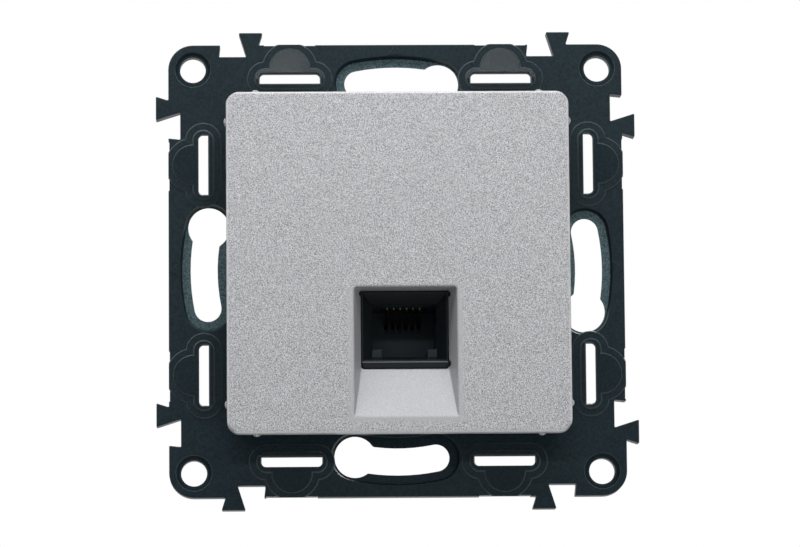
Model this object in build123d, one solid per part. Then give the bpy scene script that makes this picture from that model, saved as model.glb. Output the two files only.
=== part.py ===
from build123d import *
import math
import os

# Flush wall socket insert: a square cover with one sloped port, a coated die-cast mounting frame,
# and a six-position modular jack whose wires are trapped under a hinged wiring cap at the back.
# Millimetres. X is right and Z is up, seen from the room. Y runs into the wall, and the frame's
# back face is Y = 0. A height is measured from that face towards the room, so height = -Y.

# Mounting frame
FRAME_SIDE = 71.0
FRAME_THICK = 2.6
FRAME_CORNER_R = 3.85
FRAME_EDGE_R = 0.2
WINDOW_INSET = 3.95
WINDOW_CORNER_R = 6.5
COLLAR_WALL = 1.3
COLLAR_DEPTH = 2.6
CORNER_HOLE_PITCH = 63.3
CORNER_HOLE_R = 2.02
CORNER_SEAT_R = 2.85
CORNER_SEAT_FLOOR_R = 2.3
CORNER_SEAT_DEPTH = 0.6

# Dovetails that couple neighbouring frames
TAB_FIRST_X = -22.6
TAB_PITCH = 48.15
TAB_TOP_HALF = 1.87
TAB_REACH = 1.95
TAB_LONG_FOOT = 0.65
TAB_SHORT_FOOT = 1.25
NOTCH_DEPTH = 1.85
NOTCH_MOUTH = 4.75
NOTCH_FLOOR = 4.95
DOVETAIL_CORNER_R = 0.15

# Slots for fixing claws, with the raised pads round them
CLAW_SLOT_OFFSET = 16.5
CLAW_SLOT_RADIAL = 30.05
CLAW_SLOT_LENGTH = 9.4
CLAW_SLOT_WIDTH = 1.5
CLAW_SLOT_CORNER_R = 0.7
CLAW_SLOT_FLARE = 0.2
PAD_STEP = 0.3
PAD_RISE = 0.5
PAD_DRAFT_DEG = 30.0
PAD_SKIRT = 0.95
PAD_RING_R = 1.9
PAD_RING_LENGTH = 11.5
PAD_ARC_R = 3.45
PAD_ARC_RADIAL = 31.6
PAD_RAMP_DEG = 4.0
PAD_EDGE_RELIEF = 0.15
PAD_EDGE_RELIEF_LENGTH = 8.0
PAD_POCKET_DEPTH = 2.2
PAD_POCKET_MARGIN = 0.65

# Keyhole slots for the wall box screws
SCREW_CIRCLE_R = 30.0
KEYHOLE_ENTRY_R = 3.2
KEYHOLE_ENTRY_DEG = 12.9
KEYHOLE_END_DEG = 11.25
KEYHOLE_HALF_WIDTH = 2.1
KEYHOLE_NECK_R = 0.6
KEYHOLE_DRAFT_DEG = 8.0
SEAT_MARGIN = 1.3
SEAT_WALL = 0.35
SEAT_DEPTH = 1.3
CENTRE_MARK_HALF = 1.05
CENTRE_MARK_LENGTH = 1.6
CENTRE_MARK_RISE = 0.15

# Cover
COVER_HALF = 26.45
COVER_FRONT = 12.6
COVER_THICK = 1.6
COVER_RIM = 2.6
COVER_CORNER_R = 2.0
COVER_EDGE_R = 0.4
SKIRT_INSET = 1.25
SKIRT_WALL = 1.2
SKIRT_GAP = 0.4
SKIRT_INNER_R = 0.8
COVER_RIB = 1.2
COVER_RIB_DEPTH = 2.5
COVER_RIB_Z = 6.0
NUB_OFFSET = 21.9
NUB_R = 0.7
NUB_PROUD = 0.35
NUB_LOW = 10.3
NUB_HIGH = 11.8

# Sloped port recess in the cover
PORT_X = 1.0
PORT_Z = -10.1
RECESS_HALF = 7.95
RECESS_TOP = -3.95
RECESS_FOOT_RIM = 2.45
RECESS_DEPTH = 4.5
RECESS_WALL = 1.3
RECESS_CORNER_R = 0.5
RECESS_EDGE_R = 0.3
PORT_WIDTH = 13.6
PORT_HEIGHT = 12.25
PORT_CORNER_R = 0.5
PORT_EAR_R = 0.55
PORT_EAR_PROUD = 0.3

# Jack
MOUTH_WIDTH = 10.0
MOUTH_TOP = -6.0
MOUTH_SHOULDER = -12.95
LATCH_WIDTH = 7.1
LATCH_FLOOR = -14.15
LATCH_POCKET = 1.2
LATCH_POCKET_END = 2.0
MOUTH_WALL = 1.6
CAVITY_DEPTH = 11.0
JACK_WIDTH = 15.0
JACK_HEIGHT = 14.0
JACK_BACK_Y = 8.0
JACK_FLANGE = 0.8
JACK_FLANGE_THICK = 1.0
JACK_SNAP = 0.5
JACK_SNAP_WIDTH = 6.0
JACK_SNAP_LEDGE = 0.4
JACK_SNAP_LENGTH = 1.8
FIT = 0.15
PLAY = 0.1
SINK = 0.1
BEYOND = 1.0

# Surround of the port, held between the cover and the jack
SURROUND_FLANGE = 0.8
SURROUND_FLANGE_THICK = 0.7
SURROUND_RISE = 1.0
SURROUND_LIP = 0.15
SURROUND_BAR = 1.3
SURROUND_BAR_PROUD = 0.35
SURROUND_BAR_R = 0.45
SURROUND_EDGE_R = 0.15

# Holder that carries the jack and clips into the frame
HOLDER_RIM_GAP = 0.3
HOLDER_PLATE = 1.5
HOLDER_WALL = 1.3
HOLDER_CLEARANCE = 0.2
HOLDER_COLLAR_BACK = 5.0
HOLDER_RIB = 1.2
HOLDER_RIB_DEPTH = 1.5
HOLDER_RIB_SPREAD_X = 5.0
HOLDER_RIB_SPREAD_Z = 3.0
SNAP_WIDTH = 8.0
SNAP_PROUD = 0.7
SNAP_LEDGE = 0.3
SNAP_NEAR_Y = 0.8
SNAP_FAR_Y = 2.0
SNAP_WINDOW_GAP = 0.25
COVER_CLIP_X = 14.0
COVER_CLIP_ROOM = 1.7
COVER_CLIP_WIDTH = 5.0
COVER_CLIP_THICK = 1.4
COVER_CLIP_HOOK = 0.7
COVER_CLIP_LEDGE = 0.4
COVER_CLIP_TIP = 1.9
COVER_CLIP_LEAN = 0.3

# Contacts
CONTACT_COUNT = 6
CONTACT_PITCH = 1.02
CONTACT_WIRE_R = 0.23
CONTACT_RUN_Z = -4.95
CONTACT_BEND_Y = -0.9
CONTACT_BEND_R = 0.7
CONTACT_TIP_Y = 5.2
CONTACT_TIP_Z = -8.4
CONTACT_PIN_Y = 9.8
COMB_RIB = 0.36
COMB_FRONT_Y = -1.9
CARRIER_FRONT_Y = 1.0
CARRIER_TOP = -4.2
CARRIER_HALF = 3.3
CARRIER_PLAY = 0.05
CONTACT_HOLE_PLAY = 0.04
COMB_SLOT_WIDTH = 0.66
COMB_SLOT_DEPTH = 0.8
COMB_SLOT_FOOT = -9.2

# Circuit board
BOARD_THICK = 1.2
BOARD_WIDTH = 15.0
BOARD_HEIGHT = 15.6
BOARD_HOLE_R = 0.36

# Terminal block with insulation displacement blades
BLOCK_WIDTH = 19.0
BLOCK_HEIGHT = 17.0
BLOCK_DEPTH = 8.3
BLOCK_EDGE_R = 1.5
BLADE_PITCH = 5.6
BLADE_ROW = 6.2
BLADE_WIDTH = 2.6
BLADE_THICK = 0.5
BLADE_NEAR_Y = 10.0
BLADE_FAR_Y = 15.8
BLADE_SLOT = 0.36
BLADE_SLOT_LENGTH = 4.0
BLADE_TIP_BEVEL = 0.5
BLADE_MOUTH_DEPTH = 0.8
BLADE_TAIL = 0.6
BLADE_HOLE_R = 0.45
BLADE_HEADROOM = 0.2
CHANNEL_WIDTH = 1.4
CHANNEL_FLOOR_Y = 12.0
CHANNEL_LENGTH = 4.9
WELL_WIDTH = 8.0
WELL_HEIGHT = 6.4
WELL_FLOOR_Y = 11.6
PIN_POCKET_HALF = 0.5
PIN_POCKET_BACK_Y = 10.0

# Hinged wiring cap
CAP_WALL = 1.2
CAP_PLATE = 1.5
CAP_GAP = 0.3
CAP_FRONT_Y = 12.4
CAP_EDGE_R = 0.8
CABLE_HOLE_R = 3.6
CABLE_COLLAR_WALL = 1.0
CABLE_COLLAR_PROUD = 1.2
HINGE_Y = 14.0
HINGE_Z = -17.0
HINGE_PIN_R = 1.25
HINGE_PIN_PROUD = 0.5
HINGE_PLAY = 0.08
HINGE_EYE_WALL = 1.3
CAP_OPEN_FOOT = 1.0
FIN_WIDTH = 0.9
FIN_LENGTH = 3.0
FIN_TIP_Y = 16.2
THUMB_WIDTH = 7.0
THUMB_REACH = 1.6
THUMB_HEIGHT = 1.6

# Places worked out from the sizes above
FRAME_HALF = FRAME_SIDE / 2
WINDOW_HALF = COVER_HALF - WINDOW_INSET
HOLDER_FLANGE_HALF = COVER_HALF - SKIRT_INSET - SKIRT_WALL - HOLDER_RIM_GAP
COVER_CLIP_Z = WINDOW_HALF - HOLDER_CLEARANCE - HOLDER_WALL - COVER_CLIP_ROOM
RECESS_FLOOR = COVER_FRONT - RECESS_DEPTH
RECESS_FOOT = RECESS_FOOT_RIM - COVER_HALF
JACK_FRONT = RECESS_FLOOR - RECESS_WALL - SURROUND_FLANGE_THICK
SURROUND_FRONT = JACK_FRONT + SURROUND_FLANGE_THICK + SURROUND_RISE
HOLDER_FRONT = FRAME_THICK + HOLDER_PLATE
BOARD_BACK_Y = JACK_BACK_Y + BOARD_THICK
BLOCK_BACK_Y = BOARD_BACK_Y + BLOCK_DEPTH
CAP_INNER_Y = BLOCK_BACK_Y + CAP_GAP
CAP_BACK_Y = CAP_INNER_Y + CAP_PLATE
PAD_TOP = FRAME_THICK + PAD_STEP + PAD_RISE
QUARTERS = [0, 90, 180, 270]


def level(height):
    """A plane parallel to the wall, facing the room, at a height above the frame's back face."""
    return Plane.XZ.offset(height)


def prism(outline, low, high):
    """An outline drawn in X and Z, made solid from one height to another."""
    return extrude(level(low) * outline, high - low, dir=(0, -1, 0))


def along_x(profile, low, high):
    """A profile drawn in Y and Z, made solid between two X."""
    return extrude(Plane.YZ.offset(low) * profile, high - low, dir=(1, 0, 0))


def along_z(profile, low, high):
    """A profile drawn in X and Y, made solid between two Z."""
    return extrude(Plane.XY.offset(low) * profile, high - low, dir=(0, 0, 1))


def block(x_span, y_span, z_span):
    """A box given by its lowest and highest X, Y and Z."""
    spans = (x_span, y_span, z_span)
    size = [high - low for low, high in spans]
    middle = [(high + low) / 2 for low, high in spans]
    return Pos(*middle) * Box(*size)


def four_sides(shape):
    """A sketch repeated on the four sides of the frame."""
    turned = [Rot(0, 0, angle) * shape for angle in QUARTERS]
    return turned[0] + turned[1:]


def rounded_square(half, radius):
    return RectangleRounded(2 * half, 2 * half, radius)


def dovetail(centre_x):
    """The notch in the top edge and the tab that reaches out beside it, as points from left to right."""
    root = FRAME_HALF - NOTCH_DEPTH
    tip = FRAME_HALF + TAB_REACH
    return [
        (centre_x - NOTCH_MOUTH, FRAME_HALF),
        (centre_x - NOTCH_FLOOR, root),
        (centre_x - TAB_LONG_FOOT, root),
        (centre_x - TAB_TOP_HALF, tip),
        (centre_x + TAB_TOP_HALF, tip),
        (centre_x + TAB_SHORT_FOOT, FRAME_HALF),
    ]


def frame_outline():
    top = dovetail(TAB_FIRST_X) + dovetail(TAB_FIRST_X + TAB_PITCH) + [(FRAME_HALF, FRAME_HALF)]
    points = []
    for quarter in range(4):
        for x, z in top:
            for _ in range(quarter):
                x, z = z, -x
            points.append((x, z))
    outline = Polygon(*points, align=None)
    square_corner = FRAME_HALF * math.sqrt(2) - 0.01
    small = [v for v in outline.vertices() if Vector(v).length < square_corner]
    outline = fillet(small, DOVETAIL_CORNER_R)
    corners = [v for v in outline.vertices() if Vector(v).length > square_corner]
    return fillet(corners, FRAME_CORNER_R)


def claw_slot():
    """One slot, with its two outer corners rounded, centred on the origin."""
    slot = Rectangle(CLAW_SLOT_LENGTH, CLAW_SLOT_WIDTH)
    return fillet(slot.vertices().group_by(Axis.Y)[-1], CLAW_SLOT_CORNER_R)


def claw_places():
    """The centres of the eight slots, two to a side of the frame."""
    return [
        Rot(0, angle, 0) * Pos(side * CLAW_SLOT_OFFSET, 0, CLAW_SLOT_RADIAL)
        for angle in QUARTERS
        for side in (-1, 1)
    ]


def pad_tier(grow, high):
    """One layer of a pad: an oval round the slot joined to a disc that reaches the frame's edge.
    A grow widens it by that much all round."""
    half = PAD_RING_R + grow
    oval = SlotOverall(PAD_RING_LENGTH + 2 * grow, 2 * half)
    disc = Pos(0, PAD_ARC_RADIAL - CLAW_SLOT_RADIAL) * Circle(PAD_ARC_R + grow)
    rise = high - FRAME_THICK
    layers = [extrude(level(FRAME_THICK) * shape, rise, taper=PAD_DRAFT_DEG) for shape in (oval, disc)]
    inner = block((-half - PAD_ARC_R, half + PAD_ARC_R), (-high, -FRAME_THICK), (-half - PAD_ARC_R, 0))
    return layers[0] + (layers[1] - inner)


def claw_pad():
    """The raised pad round one slot: a low step, and the pad proper, which slopes down from the
    slot to the frame's edge. Centred on the slot, in front of the frame."""
    pad = pad_tier(PAD_SKIRT, FRAME_THICK + PAD_STEP) + pad_tier(0, PAD_TOP)
    reach = 3 * PAD_ARC_R
    shaving = block((-reach, reach), (-reach, 0), (0, reach))
    return pad - Pos(0, -PAD_TOP, 0) * Rot(-PAD_RAMP_DEG, 0, 0) * shaving


def claw_slot_cut():
    """Cutter for one slot: flared at the pad's face, and with a wide pocket behind that keeps the
    casting's wall even. Centred on the slot."""
    slot = claw_slot()
    cut = prism(slot, -BEYOND, PAD_TOP + BEYOND)
    flare_foot = PAD_TOP - 2 * CLAW_SLOT_FLARE
    cut += extrude(level(flare_foot) * slot, 3 * CLAW_SLOT_FLARE, taper=-math.degrees(math.atan(0.5)))
    pocket_width = CLAW_SLOT_WIDTH + 2 * PAD_POCKET_MARGIN
    pocket = SlotOverall(CLAW_SLOT_LENGTH + 2 * PAD_POCKET_MARGIN, pocket_width)
    return cut + prism(pocket, -BEYOND, PAD_POCKET_DEPTH)


def keyhole_arc(half_width):
    """The curved slot of the bottom side, on the screw circle."""
    start = -90 - KEYHOLE_ENTRY_DEG
    sweep = KEYHOLE_ENTRY_DEG + KEYHOLE_END_DEG
    return SlotArc(CenterArc((0, 0), SCREW_CIRCLE_R, start, sweep), 2 * half_width)


def keyhole():
    """The bottom side's keyhole: the curved slot, its round entry, and a soft inner neck between."""
    angle = math.radians(-90 - KEYHOLE_ENTRY_DEG)
    entry = Vector(SCREW_CIRCLE_R * math.cos(angle), SCREW_CIRCLE_R * math.sin(angle))
    outline = keyhole_arc(KEYHOLE_HALF_WIDTH) + Pos(entry) * Circle(KEYHOLE_ENTRY_R)
    necks = [v for v in outline.vertices() if abs((Vector(v) - entry).length - KEYHOLE_ENTRY_R) < 0.001]
    inner_neck = min(necks, key=lambda v: Vector(v).length)
    return fillet([inner_neck], KEYHOLE_NECK_R)


def keyhole_cut():
    """Cutter for the bottom side's keyhole, a little wider at the frame's back for the die's draft."""
    outline = keyhole()
    cut = prism(outline, SEAT_DEPTH, FRAME_THICK + BEYOND)
    drafted = level(FRAME_THICK - SEAT_DEPTH) * outline
    depth = FRAME_THICK - SEAT_DEPTH + BEYOND
    return cut + extrude(drafted, depth, dir=(0, 1, 0), taper=-KEYHOLE_DRAFT_DEG)


def keyhole_seat():
    """Cutter for the bottom side's sunk seat, in which the screw's head slides; its walls slope."""
    floor_half = KEYHOLE_HALF_WIDTH + SEAT_MARGIN
    taper = -math.degrees(math.atan(SEAT_WALL / SEAT_DEPTH))
    seat = level(FRAME_THICK - SEAT_DEPTH) * keyhole_arc(floor_half)
    return extrude(seat, SEAT_DEPTH, taper=taper)


def centre_mark():
    return Polygon(
        (0, FRAME_HALF),
        (-CENTRE_MARK_HALF, FRAME_HALF - CENTRE_MARK_LENGTH),
        (CENTRE_MARK_HALF, FRAME_HALF - CENTRE_MARK_LENGTH),
        align=None,
    )


def mounting_frame():
    outline = frame_outline()
    plate = prism(outline, 0, FRAME_THICK)
    front_edges = plate.faces().sort_by(Axis.Y)[0].outer_wire().edges()
    plate = fillet(front_edges, FRAME_EDGE_R)
    # The frame's edge is a hair lower beside each pad.
    relief = Pos(CLAW_SLOT_OFFSET, FRAME_HALF) * Rectangle(PAD_EDGE_RELIEF_LENGTH, 2 * PAD_EDGE_RELIEF)
    relief += Pos(-2 * CLAW_SLOT_OFFSET, 0) * relief
    plate -= prism(four_sides(relief), -BEYOND, FRAME_THICK + BEYOND)
    inside_edges = prism(outline, 0, PAD_TOP + BEYOND)
    pad = claw_pad()
    pads = [place * pad & inside_edges for place in claw_places()]
    marks = prism(four_sides(centre_mark()), FRAME_THICK - SINK, FRAME_THICK + CENTRE_MARK_RISE)
    collar = rounded_square(WINDOW_HALF + COLLAR_WALL, WINDOW_CORNER_R + COLLAR_WALL)
    frame = plate + pads + marks + prism(collar, -COLLAR_DEPTH, 0)
    keyhole_tools = (keyhole_seat(), keyhole_cut())
    frame -= [Rot(0, angle, 0) * tool for angle in QUARTERS for tool in keyhole_tools]
    through = (-COLLAR_DEPTH - BEYOND, PAD_TOP + BEYOND)
    frame -= prism(rounded_square(WINDOW_HALF, WINDOW_CORNER_R), *through)
    slot_cut = claw_slot_cut()
    frame -= [place * slot_cut for place in claw_places()]
    # Windows in the collar for the holder's snaps.
    window_half = SNAP_WIDTH / 2 + SNAP_WINDOW_GAP
    snap_window = block(
        (-window_half, window_half),
        (SNAP_NEAR_Y - SNAP_WINDOW_GAP, SNAP_FAR_Y + SNAP_WINDOW_GAP),
        (WINDOW_HALF - BEYOND, WINDOW_HALF + COLLAR_WALL + BEYOND),
    )
    frame -= [Rot(0, angle, 0) * snap_window for angle in QUARTERS]
    hole_half = CORNER_HOLE_PITCH / 2
    for x in (-hole_half, hole_half):
        for z in (-hole_half, hole_half):
            hole = Pos(x, z) * Circle(CORNER_HOLE_R)
            frame -= prism(hole, *through)
            seat = level(FRAME_THICK - CORNER_SEAT_DEPTH) * (Pos(x, z) * Circle(CORNER_SEAT_FLOOR_R))
            slope = (CORNER_SEAT_R - CORNER_SEAT_FLOOR_R) / CORNER_SEAT_DEPTH
            frame -= extrude(seat, CORNER_SEAT_DEPTH, taper=-math.degrees(math.atan(slope)))
    return frame


def recess(grow, front):
    """The port's recess: side walls that lean in, a square top and a long ramp up from the foot.
    A grow above zero gives the outside of its wall."""
    lean = (RECESS_HALF - PORT_WIDTH / 2) / RECESS_DEPTH
    floor = RECESS_FLOOR - grow
    low_half = RECESS_HALF - lean * (COVER_FRONT - floor) + grow
    high_half = RECESS_HALF + lean * (front - COVER_FRONT) + grow
    across = Polygon(
        (PORT_X - low_half, -floor),
        (PORT_X + low_half, -floor),
        (PORT_X + high_half, -front),
        (PORT_X - high_half, -front),
        align=None,
    )
    port_foot = PORT_Z - PORT_HEIGHT / 2
    ramp = (port_foot - RECESS_FOOT) / RECESS_DEPTH
    foot = port_foot - grow - ramp * (front - floor)
    side = Polygon(
        (-floor, RECESS_TOP + grow),
        (-floor, port_foot - grow),
        (-front, foot),
        (-front, RECESS_TOP + grow),
        align=None,
    )
    pocket = along_z(across, foot, RECESS_TOP + grow)
    pocket &= along_x(side, PORT_X - high_half, PORT_X + high_half)
    corners = [e for e in pocket.edges().group_by(Axis.Z)[-1] if abs(e.tangent_at(0.5).Y) > 0.5]
    return fillet(corners, RECESS_CORNER_R + grow)


def port_outline(play):
    """The port's outline, less a play all round, with three round ears: one at each end of its top
    and one beside the right end of the surround's bar."""
    outline = RectangleRounded(PORT_WIDTH - 2 * play, PORT_HEIGHT - 2 * play, PORT_CORNER_R - play)
    ear_x = PORT_WIDTH / 2 + PORT_EAR_PROUD - PORT_EAR_R
    ear_top = PORT_HEIGHT / 2 - PORT_EAR_R
    ear_foot = SURROUND_BAR / 2 + FIT - PORT_HEIGHT / 2
    for x, z in ((-ear_x, ear_top), (ear_x, ear_top), (ear_x, ear_foot)):
        outline += Pos(x, z) * Circle(PORT_EAR_R - play)
    return Pos(PORT_X, PORT_Z) * outline


def cover_clip(side_x, side_z):
    """A springy leg behind the cover with a hook that catches under the holder's plate."""
    inner = COVER_CLIP_Z - COVER_CLIP_THICK
    middle = side_x * COVER_CLIP_X
    root_y = -COVER_FRONT + COVER_THICK / 2
    catch_y = -FRAME_THICK + PLAY
    tip_y = -FRAME_THICK + COVER_CLIP_TIP
    profile = Polygon(
        (root_y, inner),
        (root_y, COVER_CLIP_Z),
        (catch_y, COVER_CLIP_Z),
        (catch_y, COVER_CLIP_Z + COVER_CLIP_HOOK),
        (catch_y + COVER_CLIP_LEDGE, COVER_CLIP_Z + COVER_CLIP_HOOK),
        (tip_y, COVER_CLIP_Z - COVER_CLIP_LEAN),
        (tip_y, inner),
        align=None,
    )
    leg = along_x(profile, middle - COVER_CLIP_WIDTH / 2, middle + COVER_CLIP_WIDTH / 2)
    return leg if side_z > 0 else leg.mirror(Plane.XY)


def front_cover():
    back = COVER_FRONT - COVER_THICK
    plate = prism(rounded_square(COVER_HALF, COVER_CORNER_R), COVER_FRONT - COVER_RIM, COVER_FRONT)
    front_edges = plate.faces().sort_by(Axis.Y)[0].outer_wire().edges()
    plate = fillet(front_edges, COVER_EDGE_R)
    skirt_half = COVER_HALF - SKIRT_INSET
    skirt = rounded_square(skirt_half, COVER_CORNER_R - SKIRT_INSET / 2)
    cover = plate + prism(skirt, FRAME_THICK + SKIRT_GAP, back)
    inside_half = skirt_half - SKIRT_WALL
    cover -= prism(rounded_square(inside_half, SKIRT_INNER_R), 0, back)
    cover += recess(RECESS_WALL, back + SINK)
    # Stiffening ribs behind the face: two upright and one level.
    rib_y = (-back, -back + COVER_RIB_DEPTH)
    rib_span = (-inside_half - SINK, inside_half + SINK)
    for x in (-COVER_CLIP_X, COVER_CLIP_X):
        cover += block((x - COVER_RIB / 2, x + COVER_RIB / 2), rib_y, rib_span)
    cover += block(rib_span, rib_y, (COVER_RIB_Z - COVER_RIB / 2, COVER_RIB_Z + COVER_RIB / 2))
    cover -= recess(0, COVER_FRONT + BEYOND)
    recess_edges = cover.faces().sort_by(Axis.Y)[0].inner_wires()[0].edges()
    cover = fillet(recess_edges, RECESS_EDGE_R)
    cover -= prism(port_outline(0), FRAME_THICK, COVER_FRONT)
    for side_x in (-1, 1):
        for side_z in (-1, 1):
            cover += cover_clip(side_x, side_z)
    nub_x = COVER_HALF + NUB_PROUD - NUB_R
    nubs = [Pos(place, nub_x) * Circle(NUB_R) for place in (-NUB_OFFSET, NUB_OFFSET)]
    cover += prism(four_sides(nubs[0] + nubs[1]), NUB_LOW, NUB_HIGH)
    return cover


def port_surround():
    """Dark trim in the port: a funnel down to the mouth, and a rounded bar along its foot."""
    flange = Pos(PORT_X, PORT_Z) * RectangleRounded(
        PORT_WIDTH + 2 * SURROUND_FLANGE, PORT_HEIGHT + 2 * SURROUND_FLANGE, PORT_CORNER_R
    )
    trim = prism(flange, JACK_FRONT, JACK_FRONT + SURROUND_FLANGE_THICK)
    trim += prism(port_outline(FIT), JACK_FRONT, SURROUND_FRONT)
    foot = PORT_Z - PORT_HEIGHT / 2 + FIT
    wide_top = PORT_Z + PORT_HEIGHT / 2 - FIT - SURROUND_LIP
    wide_foot = foot + SURROUND_BAR
    wide_half = PORT_WIDTH / 2 - FIT - SURROUND_LIP
    small = Rectangle(MOUTH_WIDTH, MOUTH_TOP - LATCH_FLOOR)
    wide = Rectangle(2 * wide_half, wide_top - wide_foot)
    small_face = (level(JACK_FRONT) * Pos(PORT_X, (MOUTH_TOP + LATCH_FLOOR) / 2) * small).face()
    wide_face = (level(SURROUND_FRONT) * Pos(PORT_X, (wide_top + wide_foot) / 2) * wide).face()
    trim -= loft([small_face, wide_face])
    bar_outline = RectangleRounded(PORT_WIDTH - 2 * FIT, SURROUND_BAR, SURROUND_BAR_R)
    bar_place = Pos(PORT_X, foot + SURROUND_BAR / 2)
    bar = prism(bar_place * bar_outline, JACK_FRONT, SURROUND_FRONT + SURROUND_BAR_PROUD)
    return trim + fillet(bar.faces().sort_by(Axis.Y)[0].edges(), SURROUND_EDGE_R)


def jack_box(grow):
    """The X and Z spans of the jack's outside, grown on every side."""
    x_span = (PORT_X - JACK_WIDTH / 2 - grow, PORT_X + JACK_WIDTH / 2 + grow)
    z_span = (PORT_Z - JACK_HEIGHT / 2 - grow, PORT_Z + JACK_HEIGHT / 2 + grow)
    return x_span, z_span


def contact_x(index):
    return PORT_X + (index - (CONTACT_COUNT - 1) / 2) * CONTACT_PITCH


def jack_housing():
    x_span, z_span = jack_box(0)
    body = block(x_span, (-JACK_FRONT, JACK_BACK_Y), z_span)
    x_wide, z_wide = jack_box(JACK_FLANGE)
    body += block(x_wide, (-HOLDER_FRONT - JACK_FLANGE_THICK, -HOLDER_FRONT), z_wide)
    # Snaps on both sides, which spring out behind the holder's collar.
    snap_y = HOLDER_COLLAR_BACK + PLAY
    for side in (-1, 1):
        root_x = PORT_X + side * (JACK_WIDTH / 2 - SINK)
        tip_x = PORT_X + side * (JACK_WIDTH / 2 + JACK_SNAP)
        wedge = Polygon(
            (root_x, snap_y),
            (tip_x, snap_y),
            (tip_x, snap_y + JACK_SNAP_LEDGE),
            (root_x, snap_y + JACK_SNAP_LENGTH),
            align=None,
        )
        body += along_z(wedge, PORT_Z - JACK_SNAP_WIDTH / 2, PORT_Z + JACK_SNAP_WIDTH / 2)
    cavity_back = -JACK_FRONT + CAVITY_DEPTH
    mouth = (PORT_X - MOUTH_WIDTH / 2, PORT_X + MOUTH_WIDTH / 2)
    latch = (PORT_X - LATCH_WIDTH / 2, PORT_X + LATCH_WIDTH / 2)
    cavity_y = (-JACK_FRONT - BEYOND, cavity_back)
    body -= block(mouth, cavity_y, (MOUTH_SHOULDER, MOUTH_TOP))
    body -= block(latch, cavity_y, (LATCH_FLOOR, MOUTH_SHOULDER + BEYOND))
    pocket_y = (-JACK_FRONT + MOUTH_WALL, cavity_back - LATCH_POCKET_END)
    body -= block(latch, pocket_y, (LATCH_FLOOR - LATCH_POCKET, LATCH_FLOOR + BEYOND))
    # Trough in the roof for the contacts and their carrier, open at the back.
    trough_half = CARRIER_HALF + CARRIER_PLAY
    body -= block(
        (PORT_X - trough_half, PORT_X + trough_half),
        (COMB_FRONT_Y - PLAY, JACK_BACK_Y + BEYOND),
        (MOUTH_TOP, CARRIER_TOP + CARRIER_PLAY),
    )
    # Comb in the back wall that guides the contact tips.
    slot_y = (cavity_back - BEYOND, cavity_back + COMB_SLOT_DEPTH)
    for index in range(CONTACT_COUNT):
        slot = (contact_x(index) - COMB_SLOT_WIDTH / 2, contact_x(index) + COMB_SLOT_WIDTH / 2)
        body -= block(slot, slot_y, (COMB_SLOT_FOOT, MOUTH_TOP + SINK))
    return body


def contact_carrier():
    """Moulded insert in the jack's roof: holes for the wires, and a comb between their bends."""
    x_span = (PORT_X - CARRIER_HALF, PORT_X + CARRIER_HALF)
    z_span = (MOUTH_TOP, CARRIER_TOP)
    carrier = block(x_span, (CARRIER_FRONT_Y, JACK_BACK_Y), z_span)
    for index in range(CONTACT_COUNT + 1):
        x = contact_x(index) - CONTACT_PITCH / 2
        carrier += block((x - COMB_RIB / 2, x + COMB_RIB / 2), (COMB_FRONT_Y, CARRIER_FRONT_Y), z_span)
    for index in range(CONTACT_COUNT):
        hole = Pos(contact_x(index), CONTACT_RUN_Z) * Circle(CONTACT_WIRE_R + CONTACT_HOLE_PLAY)
        carrier -= prism(hole, -JACK_BACK_Y - BEYOND, -CARRIER_FRONT_Y + BEYOND)
    return carrier


def contact(index):
    """One sprung contact wire: a straight run through the carrier, a hairpin and a sloping tip."""
    x = contact_x(index)
    pin = Vector(x, CONTACT_PIN_Y, CONTACT_RUN_Z)
    bend = Vector(x, CONTACT_BEND_Y, CONTACT_RUN_Z)
    centre = Vector(x, CONTACT_BEND_Y, CONTACT_RUN_Z - CONTACT_BEND_R)
    tip = Vector(x, CONTACT_TIP_Y, CONTACT_TIP_Z)
    run = tip - centre
    reach = math.hypot(run.Y, run.Z)
    # The sloping leg is tangent to the bend: the angle at the centre follows from the tangent length.
    slope = math.atan2(run.Z, run.Y) + math.asin(CONTACT_BEND_R / reach)
    leave = centre + Vector(0, math.sin(slope), -math.cos(slope)) * CONTACT_BEND_R
    middle_angle = (slope + math.pi) / 2
    middle = centre + Vector(0, -math.sin(middle_angle), math.cos(middle_angle)) * CONTACT_BEND_R
    path = Line(pin, bend) + ThreePointArc(bend, middle, leave) + Line(leave, tip)
    start = Plane(origin=pin, z_dir=(0, -1, 0))
    return sweep(start * Circle(CONTACT_WIRE_R), path=path)


def blade_places():
    """The X and Z of each blade, and which way its row faces."""
    return [
        (PORT_X + column * BLADE_PITCH, PORT_Z + row * BLADE_ROW, row)
        for row in (1, -1)
        for column in (-1, 0, 1)
    ]


def circuit_board():
    board = block(
        (PORT_X - BOARD_WIDTH / 2, PORT_X + BOARD_WIDTH / 2),
        (JACK_BACK_Y, BOARD_BACK_Y),
        (PORT_Z - BOARD_HEIGHT / 2, PORT_Z + BOARD_HEIGHT / 2),
    )
    through = (-BOARD_BACK_Y - BEYOND, -JACK_BACK_Y + BEYOND)
    for index in range(CONTACT_COUNT):
        board -= prism(Pos(contact_x(index), CONTACT_RUN_Z) * Circle(BOARD_HOLE_R), *through)
    for x, z, _ in blade_places():
        board -= prism(Pos(x, z) * Circle(BLADE_HOLE_R), *through)
    return board


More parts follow.
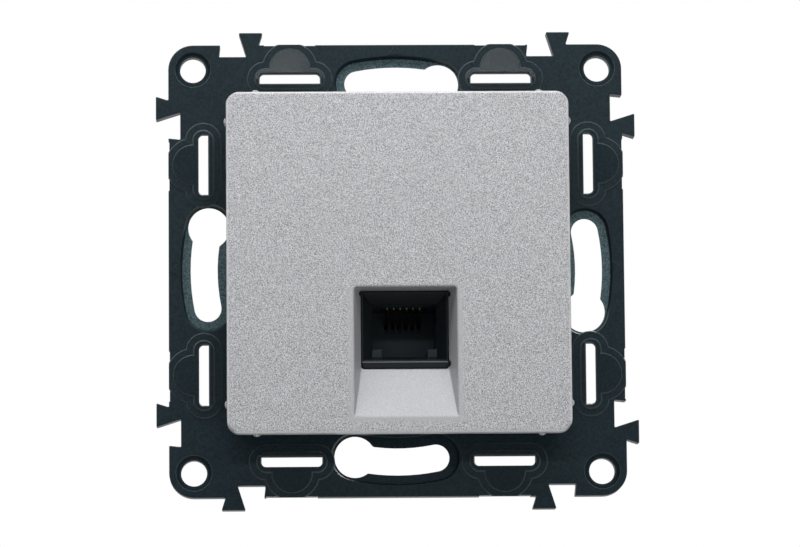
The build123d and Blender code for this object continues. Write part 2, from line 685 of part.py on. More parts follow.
def idc_blade(x, z):
    """A forked blade: its slot strips and grips a wire pushed in from the back."""
    half = BLADE_WIDTH / 2
    gap = BLADE_SLOT / 2
    shoulder_y = BLADE_FAR_Y - BLADE_TIP_BEVEL
    mouth_y = BLADE_FAR_Y - BLADE_MOUTH_DEPTH
    slot_y = BLADE_FAR_Y - BLADE_SLOT_LENGTH
    tip_x = half - BLADE_TIP_BEVEL
    fork = Polygon(
        (-half, BLADE_NEAR_Y),
        (half, BLADE_NEAR_Y),
        (half, shoulder_y),
        (tip_x, BLADE_FAR_Y),
        (gap, mouth_y),
        (gap, slot_y),
        (-gap, slot_y),
        (-gap, mouth_y),
        (-tip_x, BLADE_FAR_Y),
        (-half, shoulder_y),
        align=None,
    )
    tail_y = (JACK_BACK_Y + PLAY, BLADE_NEAR_Y + SINK)
    tail = Pos(0, sum(tail_y) / 2) * Rectangle(BLADE_TAIL, tail_y[1] - tail_y[0])
    return along_z(Pos(x, 0) * (fork + tail), z - BLADE_THICK / 2, z + BLADE_THICK / 2)


def idc_block():
    x_span = (PORT_X - BLOCK_WIDTH / 2, PORT_X + BLOCK_WIDTH / 2)
    z_span = (PORT_Z - BLOCK_HEIGHT / 2, PORT_Z + BLOCK_HEIGHT / 2)
    body = block(x_span, (BOARD_BACK_Y, BLOCK_BACK_Y), z_span)
    back_edges = body.faces().sort_by(Axis.Y)[-1].edges().filter_by(Axis.X)
    body = fillet(back_edges, BLOCK_EDGE_R)
    # Well for the end of the cable's sheath.
    open_back = BLOCK_BACK_Y + BEYOND
    well_x = (PORT_X - WELL_WIDTH / 2, PORT_X + WELL_WIDTH / 2)
    well_z = (PORT_Z - WELL_HEIGHT / 2, PORT_Z + WELL_HEIGHT / 2)
    body -= block(well_x, (WELL_FLOOR_Y, open_back), well_z)
    # A channel leads each wire in over its blade, and the blade stands in a pocket.
    open_front = BOARD_BACK_Y - BEYOND
    pocket_half_x = BLADE_WIDTH / 2 + PLAY
    pocket_half_z = BLADE_THICK / 2 + PLAY
    for x, z, row in blade_places():
        outer = PORT_Z + row * (BLOCK_HEIGHT / 2 + BEYOND)
        inner = PORT_Z + row * (BLOCK_HEIGHT / 2 - CHANNEL_LENGTH)
        channel = (x - CHANNEL_WIDTH / 2, x + CHANNEL_WIDTH / 2)
        body -= block(channel, (CHANNEL_FLOOR_Y, open_back), sorted((inner, outer)))
        body -= block(
            (x - pocket_half_x, x + pocket_half_x),
            (open_front, BLADE_FAR_Y + BLADE_HEADROOM),
            (z - pocket_half_z, z + pocket_half_z),
        )
    pins_half = CONTACT_COUNT * CONTACT_PITCH / 2
    body -= block(
        (PORT_X - pins_half, PORT_X + pins_half),
        (open_front, PIN_POCKET_BACK_Y),
        (CONTACT_RUN_Z - PIN_POCKET_HALF, CONTACT_RUN_Z + PIN_POCKET_HALF),
    )
    # Round pins on both sides carry the cap.
    reach = CAP_GAP + CAP_WALL + HINGE_PIN_PROUD
    pin = Rot(0, 90, 0) * Cylinder(HINGE_PIN_R, reach)
    for side in (-1, 1):
        body += Pos(PORT_X + side * (BLOCK_WIDTH + reach) / 2, HINGE_Y, HINGE_Z) * pin
    return body


def wire_cap():
    """Cap over the terminals: side cheeks on the hinge pins, a top lip, pressing fins, a cable hole."""
    inner_half = BLOCK_WIDTH / 2 + CAP_GAP
    outer_half = inner_half + CAP_WALL
    top = PORT_Z + BLOCK_HEIGHT / 2 + CAP_GAP + CAP_WALL
    foot = PORT_Z - BLOCK_HEIGHT / 2
    foot_height = HINGE_Z - foot
    cheek = Pos((CAP_FRONT_Y + CAP_BACK_Y) / 2, (top + HINGE_Z) / 2) * Rectangle(
        CAP_BACK_Y - CAP_FRONT_Y, top - HINGE_Z
    )
    cheek += Pos((HINGE_Y + CAP_BACK_Y) / 2, HINGE_Z) * Rectangle(CAP_BACK_Y - HINGE_Y, 2 * foot_height)
    cheek += Pos(HINGE_Y, HINGE_Z) * Circle(HINGE_PIN_R + HINGE_EYE_WALL)
    cap = along_x(cheek, PORT_X - outer_half, PORT_X + outer_half)
    cap = fillet(cap.edges().filter_by(Axis.X).group_by(Axis.Z)[-1], CAP_EDGE_R)
    # The room for the block has no floor, so that the cap can swing down and back.
    below = foot - 2 * HINGE_EYE_WALL
    room_x = (PORT_X - inner_half, PORT_X + inner_half)
    cap -= block(room_x, (CAP_FRONT_Y - BEYOND, CAP_INNER_Y), (below, top - CAP_WALL))
    cap -= block(room_x, (HINGE_Y - 2 * HINGE_EYE_WALL, CAP_INNER_Y), (below, foot + CAP_OPEN_FOOT))
    cable = Pos(PORT_X, PORT_Z) * Circle(CABLE_HOLE_R)
    collar = Pos(PORT_X, PORT_Z) * Circle(CABLE_HOLE_R + CABLE_COLLAR_WALL)
    cap += prism(collar, -CAP_BACK_Y - CABLE_COLLAR_PROUD, -CAP_BACK_Y + SINK)
    cap -= prism(cable, -CAP_BACK_Y - CABLE_COLLAR_PROUD - BEYOND, -CAP_INNER_Y + BEYOND)
    hole = Rot(0, 90, 0) * Cylinder(HINGE_PIN_R + HINGE_PLAY, 3 * outer_half)
    cap -= Pos(PORT_X, HINGE_Y, HINGE_Z) * hole
    for x, z, _ in blade_places():
        cap += block(
            (x - FIN_WIDTH / 2, x + FIN_WIDTH / 2),
            (FIN_TIP_Y, CAP_INNER_Y + SINK),
            (z - FIN_LENGTH / 2, z + FIN_LENGTH / 2),
        )
    # Thumb ledge for swinging the cap open.
    ledge_top = top - CAP_EDGE_R
    return cap + block(
        (PORT_X - THUMB_WIDTH / 2, PORT_X + THUMB_WIDTH / 2),
        (CAP_BACK_Y - SINK, CAP_BACK_Y + THUMB_REACH),
        (ledge_top - THUMB_HEIGHT, ledge_top),
    )


def jack_holder():
    """Plate that clips into the frame's window from the front, with a collar that grips the jack."""
    flange = prism(rounded_square(HOLDER_FLANGE_HALF, WINDOW_CORNER_R), FRAME_THICK, HOLDER_FRONT)
    wall_half = WINDOW_HALF - HOLDER_CLEARANCE
    wall_r = WINDOW_CORNER_R - HOLDER_CLEARANCE
    wall = prism(rounded_square(wall_half, wall_r), -COLLAR_DEPTH, FRAME_THICK)
    inner = rounded_square(wall_half - HOLDER_WALL, wall_r - HOLDER_WALL)
    holder = flange + wall - prism(inner, -COLLAR_DEPTH - BEYOND, FRAME_THICK)
    wedge = Polygon(
        (SNAP_NEAR_Y, wall_half - SINK),
        (SNAP_NEAR_Y, wall_half + SNAP_PROUD),
        (SNAP_NEAR_Y + SNAP_LEDGE, wall_half + SNAP_PROUD),
        (SNAP_FAR_Y, wall_half - SINK),
        align=None,
    )
    snap = along_x(wedge, -SNAP_WIDTH / 2, SNAP_WIDTH / 2)
    holder += [Rot(0, angle, 0) * snap for angle in QUARTERS]
    x_outer, z_outer = jack_box(FIT + HOLDER_WALL)
    holder += block(x_outer, (-FRAME_THICK - SINK, HOLDER_COLLAR_BACK), z_outer)
    # Ribs from the jack's collar to the outer wall.
    rib_y = (-FRAME_THICK - SINK, -FRAME_THICK + HOLDER_RIB_DEPTH)
    rib_reach = wall_half - HOLDER_WALL / 2
    rib_span = (-rib_reach, rib_reach)
    for end in (-1, 1):
        x = PORT_X + end * HOLDER_RIB_SPREAD_X
        z = PORT_Z + end * HOLDER_RIB_SPREAD_Z
        holder += block(rib_span, rib_y, (z - HOLDER_RIB / 2, z + HOLDER_RIB / 2))
        holder += block((x - HOLDER_RIB / 2, x + HOLDER_RIB / 2), rib_y, rib_span)
    x_inner, z_inner = jack_box(FIT)
    holder -= block(x_inner, (-HOLDER_FRONT - BEYOND, HOLDER_COLLAR_BACK + BEYOND), z_inner)
    # Slots for the cover's clips, through the plate alone, so that the hooks catch behind it.
    slot_half = COVER_CLIP_WIDTH / 2 + FIT
    slot_near = COVER_CLIP_Z - COVER_CLIP_THICK - FIT
    slot_far = COVER_CLIP_Z + FIT
    for side_x in (-1, 1):
        x_span = (side_x * COVER_CLIP_X - slot_half, side_x * COVER_CLIP_X + slot_half)
        for side_z in (-1, 1):
            z_span = sorted((side_z * slot_near, side_z * slot_far))
            holder -= block(x_span, (-HOLDER_FRONT - BEYOND, -FRAME_THICK), z_span)
    return holder


def main():
    os.makedirs("parts", exist_ok=True)
    pieces = {
        "mounting_frame": mounting_frame(),
        "front_cover": front_cover(),
        "port_surround": port_surround(),
        "jack_holder": jack_holder(),
        "jack_housing": jack_housing(),
        "contact_carrier": contact_carrier(),
        "circuit_board": circuit_board(),
        "idc_block": idc_block(),
        "wire_cap": wire_cap(),
    }
    for index in range(CONTACT_COUNT):
        pieces[f"contact_{index + 1}"] = contact(index)
    for number, (x, z, _) in enumerate(blade_places(), start=1):
        pieces[f"idc_blade_{number}"] = idc_blade(x, z)
    for name, piece in pieces.items():
        export_step(piece, f"parts/{name}.step")


main()
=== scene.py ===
"""Studio scene of a modular jack wall socket: its finishes, lights and camera."""

import logging
import math
from dataclasses import dataclass

import bmesh
import bpy
from mathutils import Matrix, Vector

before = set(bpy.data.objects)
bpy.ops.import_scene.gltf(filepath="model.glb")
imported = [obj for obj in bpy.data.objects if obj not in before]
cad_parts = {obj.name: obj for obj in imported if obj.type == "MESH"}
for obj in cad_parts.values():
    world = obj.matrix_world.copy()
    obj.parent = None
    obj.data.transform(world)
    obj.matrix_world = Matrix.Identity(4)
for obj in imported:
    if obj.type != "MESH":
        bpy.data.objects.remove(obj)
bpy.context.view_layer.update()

logging.basicConfig(level=logging.INFO, format="%(message)s")
LOG = logging.getLogger("socket")

Color = tuple[float, float, float]
Point = tuple[float, float, float]
Pair = tuple[float, float]

MM = 0.001
MEAN = 0.5
BLACK: Color = (0.0, 0.0, 0.0)
WHITE: Color = (1.0, 1.0, 1.0)
FRAME_FRONT_Y = -2.6 * MM
PHOTO_WIDTH_PX = 800
PHOTO_HEIGHT_PX = 547


def opaque(color: object) -> object:
    """Return a colour with an alpha of 1, and anything else as it is."""
    return (*color, 1.0) if isinstance(color, tuple) else color


class Value:
    """A number inside a node tree. Arithmetic on it adds Math nodes to its tree."""

    def __init__(self, graph: "Graph", socket: bpy.types.NodeSocket) -> None:
        """Wrap an output socket.

        Args:
            graph: the node tree that the socket belongs to.
            socket: the output to compute with.
        """
        self.graph = graph
        self.socket = socket

    def math(self, operation: str, *others: "Value | float") -> "Value":
        """Return operation(self, *others) as a new value."""
        terms = dict(enumerate((self, *others)))
        return self.graph.value("ShaderNodeMath", {"operation": operation}, terms)

    def __add__(self, other: "Value | float") -> "Value":
        """Return the sum."""
        return self.math("ADD", other)

    __radd__ = __add__

    def __sub__(self, other: "Value | float") -> "Value":
        """Return the difference."""
        return self.math("SUBTRACT", other)

    def __rsub__(self, other: float) -> "Value":
        """Return a number less this value."""
        return self.graph.value("ShaderNodeMath", {"operation": "SUBTRACT"}, {0: other, 1: self})

    def __mul__(self, other: "Value | float") -> "Value":
        """Return the product."""
        return self.math("MULTIPLY", other)

    __rmul__ = __mul__

    def __abs__(self) -> "Value":
        """Return the size without the sign."""
        return self.math("ABSOLUTE")

    def below(self, limit: float) -> "Value":
        """Return 1 where this value is under the limit, else 0."""
        return self.math("LESS_THAN", limit)

    def above(self, limit: float) -> "Value":
        """Return 1 where this value is over the limit, else 0."""
        return self.math("GREATER_THAN", limit)

    def fade(self, full: float, none: float) -> "Value":
        """Return a smooth step.

        Args:
            full: where the result is 1.
            none: where the result is 0.

        Returns:
            A value between 0 and 1 that turns smoothly between the two places.
        """
        ends = {"From Min": none, "From Max": full, "To Min": 0.0, "To Max": 1.0, "Value": self}
        return self.graph.value("ShaderNodeMapRange", {"interpolation_type": "SMOOTHSTEP"}, ends)


class Graph:
    """A node tree under construction."""

    def __init__(self, tree: bpy.types.NodeTree) -> None:
        """Take over a node tree and empty it.

        Args:
            tree: the tree of a material or a world.
        """
        self.tree = tree
        self.tree.nodes.clear()

    def node(
        self,
        kind: str,
        settings: dict[str, object] | None = None,
        inputs: dict[str | int, object] | None = None,
    ) -> bpy.types.Node:
        """Add a node.

        Args:
            kind: the node's type.
            settings: attributes, set before the sockets.
            inputs: values or links by socket name or index.

        Returns:
            The new node.
        """
        made = self.tree.nodes.new(kind)
        for key, setting in (settings or {}).items():
            setattr(made, key, setting)
        for key, source in (inputs or {}).items():
            if isinstance(source, Value):
                source = source.socket
            if isinstance(source, bpy.types.NodeSocket):
                self.tree.links.new(source, made.inputs[key])
            else:
                made.inputs[key].default_value = source
        return made

    def value(self, kind: str, settings: dict, inputs: dict, output: int | str = 0) -> Value:
        """Add a node and return one of its outputs as a value."""
        return Value(self, self.node(kind, settings, inputs).outputs[output])


class Shader(Graph):
    """One material under construction, and the object coordinates that its patterns read."""

    bevel_samples = 6
    mix_low, mix_high, mix_result = 6, 7, 2

    def __init__(self, name: str) -> None:
        """Start an empty material.

        Args:
            name: the material's name.
        """
        self.material = bpy.data.materials.new(name)
        self.material.use_nodes = True
        super().__init__(self.material.node_tree)
        self.place = self.node("ShaderNodeTexCoord").outputs["Object"]

    def axes(self) -> tuple[Value, Value, Value]:
        """Return the X, Y and Z of the shaded point in the object's frame, in metres."""
        split = self.node("ShaderNodeSeparateXYZ", None, {0: self.place})
        return tuple(Value(self, socket) for socket in split.outputs)

    def rounded(self, edge_radius: float) -> bpy.types.NodeSocket:
        """Return the normal with sharp edges rounded off over a radius in metres."""
        settings = {"samples": self.bevel_samples}
        return self.node("ShaderNodeBevel", settings, {"Radius": edge_radius}).outputs[0]

    def turned(self, edge_radius: float) -> Value:
        """Return how far the surface turns from the front: 0 faces the room, 1 is square to it.

        Args:
            edge_radius: the radius over which a sharp edge counts as round, in metres.

        Returns:
            The size of the turn.
        """
        split = self.node("ShaderNodeSeparateXYZ", None, {0: self.rounded(edge_radius)})
        return 1 - abs(Value(self, split.outputs["Y"]))

    def remap(self, **mapping: Point) -> None:
        """Turn (Rotation, in radians) or squeeze (Scale) the patterns added from here on."""
        mapped = self.node("ShaderNodeMapping", None, {"Vector": self.place, **mapping})
        self.place = mapped.outputs[0]

    def noise(self, size: float, detail: float = 2.0, rough: float = 0.5) -> Value:
        """Return a cloud pattern.

        Args:
            size: the width of one cloud, in metres.
            detail: how many finer layers are added.
            rough: the weight of those layers.

        Returns:
            The pattern, around 0.5.
        """
        inputs = {"Vector": self.place, "Scale": 1 / size, "Detail": detail, "Roughness": rough}
        return self.value("ShaderNodeTexNoise", {}, inputs, "Fac")

    def specks(self, size: float) -> Value:
        """Return cells of one size, each with its own random number between 0 and 1."""
        inputs = {"Vector": self.place, "Scale": 1 / size}
        cells = self.node("ShaderNodeTexVoronoi", {"feature": "F1"}, inputs)
        color = {0: cells.outputs["Color"]}
        return self.value("ShaderNodeSeparateColor", {}, color, "Red")

    def blend(self, amount: Value | float, low: object, high: object) -> bpy.types.NodeSocket:
        """Return a colour between two colours.

        Args:
            amount: 0 for low, 1 for high.
            low: a colour or a link.
            high: a colour or a link.

        Returns:
            The mixed colour's socket.
        """
        inputs = {0: amount, self.mix_low: opaque(low), self.mix_high: opaque(high)}
        return self.node("ShaderNodeMix", {"data_type": "RGBA"}, inputs).outputs[self.mix_result]

    def relief(
        self, height: Value, depth: float, edge_radius: float = 0.0
    ) -> bpy.types.NodeSocket:
        """Return a normal with a fine relief, and with rounded edges if a radius is given.

        Args:
            height: the relief, between 0 and 1.
            depth: the height of 1, in metres.
            edge_radius: the radius that catches the light on sharp edges, in metres.

        Returns:
            The normal's socket.
        """
        inputs = {"Strength": 1.0, "Distance": depth, "Height": height}
        if edge_radius:
            inputs["Normal"] = self.rounded(edge_radius)
        return self.node("ShaderNodeBump", None, inputs).outputs[0]

    def surface(self, **inputs: object) -> bpy.types.Material:
        """Close the material with one Principled surface.

        Args:
            inputs: values, colours or links by socket name, with _ for each space.

        Returns:
            The finished material.
        """
        named = {key.replace("_", " "): opaque(source) for key, source in inputs.items()}
        shader = self.node("ShaderNodeBsdfPrincipled", None, named)
        self.node("ShaderNodeOutputMaterial", None, {"Surface": shader.outputs[0]})
        return self.material


@dataclass(frozen=True)
class CoatedCasting:
    """Dark coat over a die casting, bare and granular on the floors of the screw seats.

    A painted highlight, a lighter coat colour, lies where an edge's rounding begins to turn
    (edge_turn), but not on the walls beyond it (wall_turn). Both give where the mask is full and
    where it ends.
    """

    dark: Color = (0.0065, 0.0155, 0.0205)
    light: Color = (0.019, 0.0335, 0.042)
    tone: float = 0.2
    cloud: float = 6 * MM
    cloud_detail: float = 3.0
    cloud_contrast: float = 0.6
    fleck: float = 0.4 * MM
    fleck_detail: float = 3.0
    fleck_rough: float = 0.7
    fleck_contrast: float = 2.4
    grain: float = 0.12 * MM
    grain_depth: float = 0.004 * MM
    floor_dark: Color = (0.045, 0.08, 0.09)
    floor_light: Color = (0.15, 0.225, 0.245)
    floor_grain: float = 0.16 * MM
    floor_grain_depth: float = 0.04 * MM
    floor_reach: float = 0.03 * MM
    # Painted highlight on the edges: its colour, its amount and how far behind the front it
    # reaches.
    edge_highlight_color: Color = (0.1, 0.125, 0.135)
    highlight_amount: float = 0.9
    highlight_depth: float = 0.1 * MM
    edge_turn: Pair = (0.35, 0.04)
    wall_turn: Pair = (0.8, 0.98)
    edge_radius: float = 0.12 * MM
    roughness: float = 0.36
    roughness_swing: float = 0.16
    floor_roughness: float = 0.2
    pad_polish: float = 0.2
    specular: float = 0.08

    def material(
        self, front_y: float, floor_y: float, pad_y: float, floor_shade_z: float
    ) -> bpy.types.Material:
        """Return the finish.

        Args:
            front_y: the Y of the front face, in metres.
            floor_y: the Y of the screw seats' floors, in metres.
            pad_y: the Y in front of which the pads' brushed faces lie, in metres.
            floor_shade_z: the Z below which the seat floors take the dark coat as painted shade,
                in metres.

        Returns:
            The material.
        """
        made = Shader("frame_coat")
        _, y, z = made.axes()
        # Seat floors low on the frame keep the dark coat colour as painted shade.
        floor = abs(y - floor_y).below(self.floor_reach) * z.above(floor_shade_z)
        turned = made.turned(self.edge_radius)
        # Painted highlight: a lighter coat colour on edges near the front face, where their
        # rounding turns.
        edge = turned.fade(*self.edge_turn) * turned.fade(*self.wall_turn)
        edge_highlight = edge * y.below(front_y + self.highlight_depth)
        pad = y.below(pad_y)
        cloud = made.noise(self.cloud, self.cloud_detail)
        speck = made.specks(self.floor_grain)
        fleck = made.noise(self.fleck, self.fleck_detail, self.fleck_rough)
        shade = cloud * self.cloud_contrast + (fleck - MEAN) * self.fleck_contrast + self.tone
        plain = made.blend(shade, self.dark, self.light)
        coat = made.blend(edge_highlight * self.highlight_amount, plain, self.edge_highlight_color)
        bare = made.blend(speck, self.floor_dark, self.floor_light)
        fine = made.noise(self.grain)
        depth_ratio = self.floor_grain_depth / self.grain_depth
        height = fine * (1 - floor) + speck * floor * depth_ratio
        coat_roughness = self.roughness + (cloud - MEAN) * self.roughness_swing
        return made.surface(
            Base_Color=made.blend(floor, coat, bare),
            Roughness=coat_roughness + floor * self.floor_roughness - pad * self.pad_polish,
            Specular_IOR_Level=self.specular,
            Normal=made.relief(height, self.grain_depth, self.edge_radius),
        )


@dataclass(frozen=True)
class SparklePaint:
    """Silver paint with a fine bright grain, smoother in a field round the port.

    Along the cover's rim, from rim_start out to rim_full, a painted highlight lightens the
    paint.
    """

    dark: Color = (0.18, 0.182, 0.193)
    light: Color = (0.74, 0.747, 0.775)
    grain: float = 0.1 * MM
    grain_depth: float = 0.008 * MM
    grain_contrast: float = 4.0
    grain_turn: Point = (0.5, 0.35, 0.7)
    # Painted highlight colour for the cover's rim.
    edge_highlight: Color = (0.86, 0.865, 0.88)
    rim_start: float = 26.05 * MM
    rim_full: float = 26.25 * MM
    rim_depth: float = 0.5 * MM
    rim_highlight_amount: float = 0.6
    edge_radius: float = 0.4 * MM
    field_half: float = 9.5 * MM
    field_top: float = -3.3 * MM
    field_foot: float = -25.6 * MM
    field_edge: float = 1.2 * MM
    field_calm: float = 0.82
    metallic: float = 0.15
    roughness: float = 0.46
    roughness_swing: float = 0.2

    def material(self, port_x: float, front_y: float) -> bpy.types.Material:
        """Return the finish.

        Args:
            port_x: the X of the port's middle, in metres.
            front_y: the Y of the cover's front, in metres.

        Returns:
            The material.
        """
        made = Shader("silver_paint")
        x, y, z = made.axes()
        reach = abs(x).math("MAXIMUM", abs(z))
        # Painted highlight along the cover's front rim.
        rim = reach.fade(self.rim_full, self.rim_start) * y.below(front_y + self.rim_depth)
        field_z = (self.field_top + self.field_foot) / 2
        half_height = (self.field_top - self.field_foot) / 2
        across = abs(x - port_x).fade(self.field_half - self.field_edge, self.field_half)
        along = abs(z - field_z).fade(half_height - self.field_edge, half_height)
        field = across * along
        made.remap(Rotation=self.grain_turn)
        grain = (made.noise(self.grain, detail=0.0) - MEAN) * self.grain_contrast
        shown = grain * (1 - field * self.field_calm)
        paint = made.blend(shown + MEAN, self.dark, self.light)
        return made.surface(
            Base_Color=made.blend(rim * self.rim_highlight_amount, paint, self.edge_highlight),
            Metallic=self.metallic,
            Roughness=self.roughness + shown * self.roughness_swing,
            Normal=made.relief(shown, self.grain_depth, self.edge_radius),
        )


@dataclass(frozen=True)
class MouldedPlastic:
    """Plain moulded plastic: a base colour, a faint mottle and a fine mould grain.

    A ridge is a painted highlight line along an edge, given as the Y of its front and its Z.
    """

    name: str
    color: Color
    roughness: float = 0.35
    roughness_swing: float = 0.12
    specular: float = 0.5
    cloud: float = 4 * MM
    mottle: float = 0.12
    grain: float = 0.16 * MM
    grain_depth: float = 0.003 * MM
    edge_radius: float = 0.1 * MM
    ridge: Pair | None = None
    ridge_half: float = 0.08 * MM
    ridge_depth: float = 0.2 * MM
    ridge_highlight_color: Color = (0.36, 0.365, 0.37)

    def material(self) -> bpy.types.Material:
        """Return the finish."""
        made = Shader(self.name)
        cloud = made.noise(self.cloud)
        low = tuple(channel * (1 - self.mottle) for channel in self.color)
        high = tuple(channel * (1 + self.mottle) for channel in self.color)
        color = made.blend(cloud, low, high)
        # Painted highlight: a lighter line along the ridge.
        if self.ridge:
            _, y, z = made.axes()
            front_y, ridge_z = self.ridge
            highlight_line = abs(z - ridge_z).fade(0.0, self.ridge_half)
            highlight_line = highlight_line * y.below(front_y + self.ridge_depth)
            color = made.blend(highlight_line, color, self.ridge_highlight_color)
        return made.surface(
            Base_Color=color,
            Roughness=self.roughness + (cloud - MEAN) * self.roughness_swing,
            Specular_IOR_Level=self.specular,
            Normal=made.relief(made.noise(self.grain), self.grain_depth, self.edge_radius),
        )


@dataclass(frozen=True)
class PlatedMetal:
    """Plated spring metal with fine drawing marks along its length."""

    name: str
    color: Color
    shade: float = 0.8
    roughness: float = 0.24
    roughness_swing: float = 0.2
    mark: float = 0.05 * MM
    mark_depth: float = 0.001 * MM
    mark_squeeze: Point = (1.0, 0.05, 1.0)

    def material(self) -> bpy.types.Material:
        """Return the finish."""
        made = Shader(self.name)
        made.remap(Scale=self.mark_squeeze)
        marks = made.noise(self.mark)
        low = tuple(channel * self.shade for channel in self.color)
        return made.surface(
            Base_Color=made.blend(marks, low, self.color),
            Metallic=1.0,
            Roughness=self.roughness + (marks - MEAN) * self.roughness_swing,
            Normal=made.relief(marks, self.mark_depth),
        )


@dataclass(frozen=True)
class Laminate:
    """Green lacquered board with faint copper lines under the lacquer."""

    lacquer: Color = (0.012, 0.085, 0.04)
    over_copper: Color = (0.03, 0.16, 0.07)
    line_pitch: float = 1.8 * MM
    line_edge: Pair = (0.75, 0.55)
    line_height: float = 0.02 * MM
    roughness: float = 0.3

    def material(self) -> bpy.types.Material:
        """Return the finish."""
        made = Shader("board_laminate")
        x, _, _ = made.axes()
        wave = (x * (2 * math.pi / self.line_pitch)).math("SINE")
        lines = wave.fade(*self.line_edge)
        return made.surface(
            Base_Color=made.blend(lines, self.lacquer, self.over_copper),
            Roughness=self.roughness,
            Normal=made.relief(lines, self.line_height),
        )


def dress(node: str, finish: bpy.types.Material) -> None:
    """Give a CAD node its finish.

    Args:
        node: the node's name.
        finish: the material for its whole surface.
    """
    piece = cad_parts[node]
    for slot in piece.material_slots:
        slot.material = finish
    LOG.info("%s: %d faces, %s", node, len(piece.data.polygons), finish.name)


@dataclass
class MountingFrame:
    """The die-cast frame that carries the socket."""

    seat_depth: float = 1.3 * MM
    pad_height: float = 0.4 * MM
    # Seat floors below this Z are painted with the dark coat as shade.
    shaded_seat_top: float = -25.0 * MM
    coat: CoatedCasting = CoatedCasting()

    def build(self) -> None:
        """Coat the frame."""
        seat_y = FRAME_FRONT_Y + self.seat_depth
        pad_y = FRAME_FRONT_Y - self.pad_height
        coat = self.coat.material(FRAME_FRONT_Y, seat_y, pad_y, self.shaded_seat_top)
        dress("mounting_frame", coat)


@dataclass
class FrontCover:
    """The painted cover and the dark trim in its port."""

    front_y: float = -12.6 * MM
    port_x: float = 1.0 * MM
    bar_front_y: float = -8.15 * MM
    bar_ridge_z: float = -15.12 * MM
    paint: SparklePaint = SparklePaint()
    trim_color: Color = (0.011, 0.0145, 0.018)

    def build(self) -> None:
        """Dress the cover and its trim."""
        dress("front_cover", self.paint.material(self.port_x, self.front_y))
        trim = MouldedPlastic(
            "trim_plastic",
            self.trim_color,
            roughness=0.25,
            specular=0.12,
            # The trim bar's top edge gets a painted highlight line.
            ridge=(self.bar_front_y, self.bar_ridge_z),
        )
        dress("port_surround", trim.material())


@dataclass
class JackModule:
    """The jack, its contacts and the holder that grips it."""

    contacts: int = 6
    holder_color: Color = (0.016, 0.018, 0.02)
    jack_color: Color = (0.03, 0.041, 0.05)
    # The contacts' gold is darkened as painted shade, for their place deep in the jack.
    shaded_contact_color: Color = (0.16, 0.12, 0.065)

    def build(self) -> None:
        """Dress the jack and its holder."""
        holder = MouldedPlastic(
            "holder_plastic", self.holder_color, roughness=0.5, specular=0.25
        )
        dress("jack_holder", holder.material())
        jack = MouldedPlastic("jack_plastic", self.jack_color, specular=0.06).material()
        dress("jack_housing", jack)
        dress("contact_carrier", jack)
        gold = PlatedMetal("contact_plating", self.shaded_contact_color, roughness=0.45).material()
        for number in range(1, self.contacts + 1):
            dress(f"contact_{number}", gold)


@dataclass
class Terminals:
    """The board, the terminal block with its blades, and the wiring cap."""

    blades: int = 6
    board: Laminate = Laminate()
    block_color: Color = (0.55, 0.55, 0.5)
    cap_color: Color = (0.33, 0.35, 0.37)
    blade_color: Color = (0.68, 0.66, 0.6)

    def build(self) -> None:
        """Dress the board, the block, the cap and the blades."""
        dress("circuit_board", self.board.material())
        block = MouldedPlastic(
            "terminal_plastic", self.block_color, roughness=0.42, mottle=0.03
        )
        dress("idc_block", block.material())
        cap = MouldedPlastic("cap_plastic", self.cap_color, roughness=0.4, mottle=0.04)
        dress("wire_cap", cap.material())
        tin = PlatedMetal("blade_metal", self.blade_color, roughness=0.3).material()
        for number in range(1, self.blades + 1):
            dress(f"idc_blade_{number}", tin)


@dataclass(frozen=True)
class Lamp:
    """A soft rectangular lamp that faces the object and stays out of the camera's sight."""

    name: str
    place: Point
    size: Pair
    power: float

    def hang(self) -> None:
        """Add the lamp to the scene."""
        data = bpy.data.lights.new(self.name, "AREA")
        data.shape = "RECTANGLE"
        data.size, data.size_y = self.size
        data.energy = self.power
        place = Vector(self.place)
        turn = (-place).to_track_quat("-Z", "Y").to_matrix().to_4x4()
        holder = bpy.data.objects.new(self.name, data)
        holder.matrix_world = Matrix.Translation(place) @ turn
        holder.visible_camera = False
        bpy.context.scene.collection.objects.link(holder)


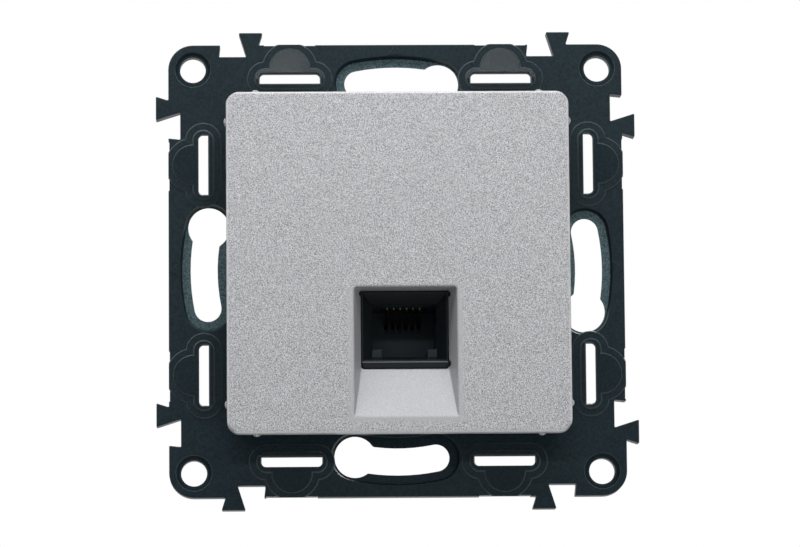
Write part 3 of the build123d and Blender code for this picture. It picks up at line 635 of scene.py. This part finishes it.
@dataclass
class Studio:
    """Pale floor, soft lights and the camera at the photograph's angle.

    Lengths are in metres, angles in degrees and the lamps' powers in watts. The scale and
    the centre are those of the frame's front face in the photograph.
    """

    floor_z: float = -0.75
    floor_half: float = 4.0
    floor_color: Color = (0.9, 0.9, 0.9)
    floor_roughness: float = 0.8
    floor_glow: float = 0.7
    ambient: float = 0.1
    lamps: tuple[Lamp, ...] = (
        Lamp("key", (-0.035, -0.125, 0.185), (0.4, 0.09), 0.48),
        Lamp("strip", (0.02, -0.81, 0.29), (0.5, 0.03), 1.3),
        Lamp("bounce", (0.35, -0.6, -0.3), (0.6, 0.4), 0.8),
        Lamp("rear", (0.5, 0.8, 0.7), (0.8, 0.8), 11.0),
    )
    distance: float = 0.72
    elevation: float = -7.3
    azimuth: float = -1.75
    roll: float = -0.5
    scale_px_per_mm: float = 6.42
    centre_px: Pair = (396.8, 269.3)
    sensor_mm: float = 36.0
    clip: Pair = (0.01, 20.0)

    def build(self) -> None:
        """Make the floor, the world, the lamps and the camera."""
        bpy.context.scene.view_settings.view_transform = "Standard"
        self.floor()
        self.world()
        for lamp in self.lamps:
            lamp.hang()
        self.camera()

    @staticmethod
    def seen(graph: Graph) -> Value:
        """Return 1 for the rays that the eye or a shiny or clear surface sends out, else 0."""
        path = graph.node("ShaderNodeLightPath")
        names = ("Is Camera Ray", "Is Glossy Ray", "Is Transmission Ray")
        camera, glossy, through = (Value(graph, path.outputs[name]) for name in names)
        return camera.math("MAXIMUM", glossy).math("MAXIMUM", through)

    def floor(self) -> None:
        """Lay the pale floor under the object."""
        mesh = bpy.data.meshes.new("floor")
        form = bmesh.new()
        bmesh.ops.create_grid(form, x_segments=1, y_segments=1, size=self.floor_half)
        bmesh.ops.translate(form, verts=form.verts, vec=(0, 0, self.floor_z))
        form.to_mesh(mesh)
        form.free()
        mesh.materials.append(self.floor_finish())
        piece = bpy.data.objects.new("floor", mesh)
        bpy.context.scene.collection.objects.link(piece)

    def floor_finish(self) -> bpy.types.Material:
        """Return the floor's finish, which glows for the seen rays and lights nothing."""
        finish = Shader("floor")
        return finish.surface(
            Base_Color=self.floor_color,
            Roughness=self.floor_roughness,
            Emission_Color=finish.blend(self.seen(finish), BLACK, WHITE),
            Emission_Strength=self.floor_glow,
        )

    def world(self) -> None:
        """Make a world that is white where it is seen and softer where it lights the object."""
        world = bpy.data.worlds.new("studio")
        world.use_nodes = True
        bpy.context.scene.world = world
        graph = Graph(world.node_tree)
        inputs = {
            "Color": opaque(WHITE),
            "Strength": self.seen(graph) * (1 - self.ambient) + self.ambient,
        }
        glow = graph.node("ShaderNodeBackground", None, inputs)
        graph.node("ShaderNodeOutputWorld", None, {"Surface": glow.outputs[0]})

    def camera(self) -> None:
        """Set the camera so that the frame's front face has the photograph's scale and place."""
        azimuth, elevation = math.radians(self.azimuth), math.radians(self.elevation)
        level = math.cos(elevation)
        back = Vector(
            (math.sin(azimuth) * level, -math.cos(azimuth) * level, math.sin(elevation))
        )
        roll = Matrix.Rotation(math.radians(self.roll), 3, "Z")
        turn = (-back).to_track_quat("-Z", "Y").to_matrix() @ roll
        right, up = turn.col[0], turn.col[1]
        centre_x, centre_y = self.centre_px
        per_px = MM / self.scale_px_per_mm
        aim = Vector((0, FRAME_FRONT_Y, 0))
        aim += right * (PHOTO_WIDTH_PX / 2 - centre_x) * per_px
        aim -= up * (PHOTO_HEIGHT_PX / 2 - centre_y) * per_px
        width = PHOTO_WIDTH_PX * per_px
        data = bpy.data.cameras.new("camera")
        data.sensor_width = self.sensor_mm
        data.lens = self.sensor_mm * self.distance / width
        data.clip_start, data.clip_end = self.clip
        holder = bpy.data.objects.new("camera", data)
        holder.matrix_world = Matrix.Translation(aim + back * self.distance) @ turn.to_4x4()
        bpy.context.scene.collection.objects.link(holder)
        bpy.context.scene.camera = holder


def main() -> None:
    """Build the socket's sub-assemblies in order, then the studio."""
    for part in (MountingFrame(), FrontCover(), JackModule(), Terminals()):
        LOG.info("building %s", type(part).__name__)
        part.build()
    Studio().build()


if __name__ == "__main__":
    main()
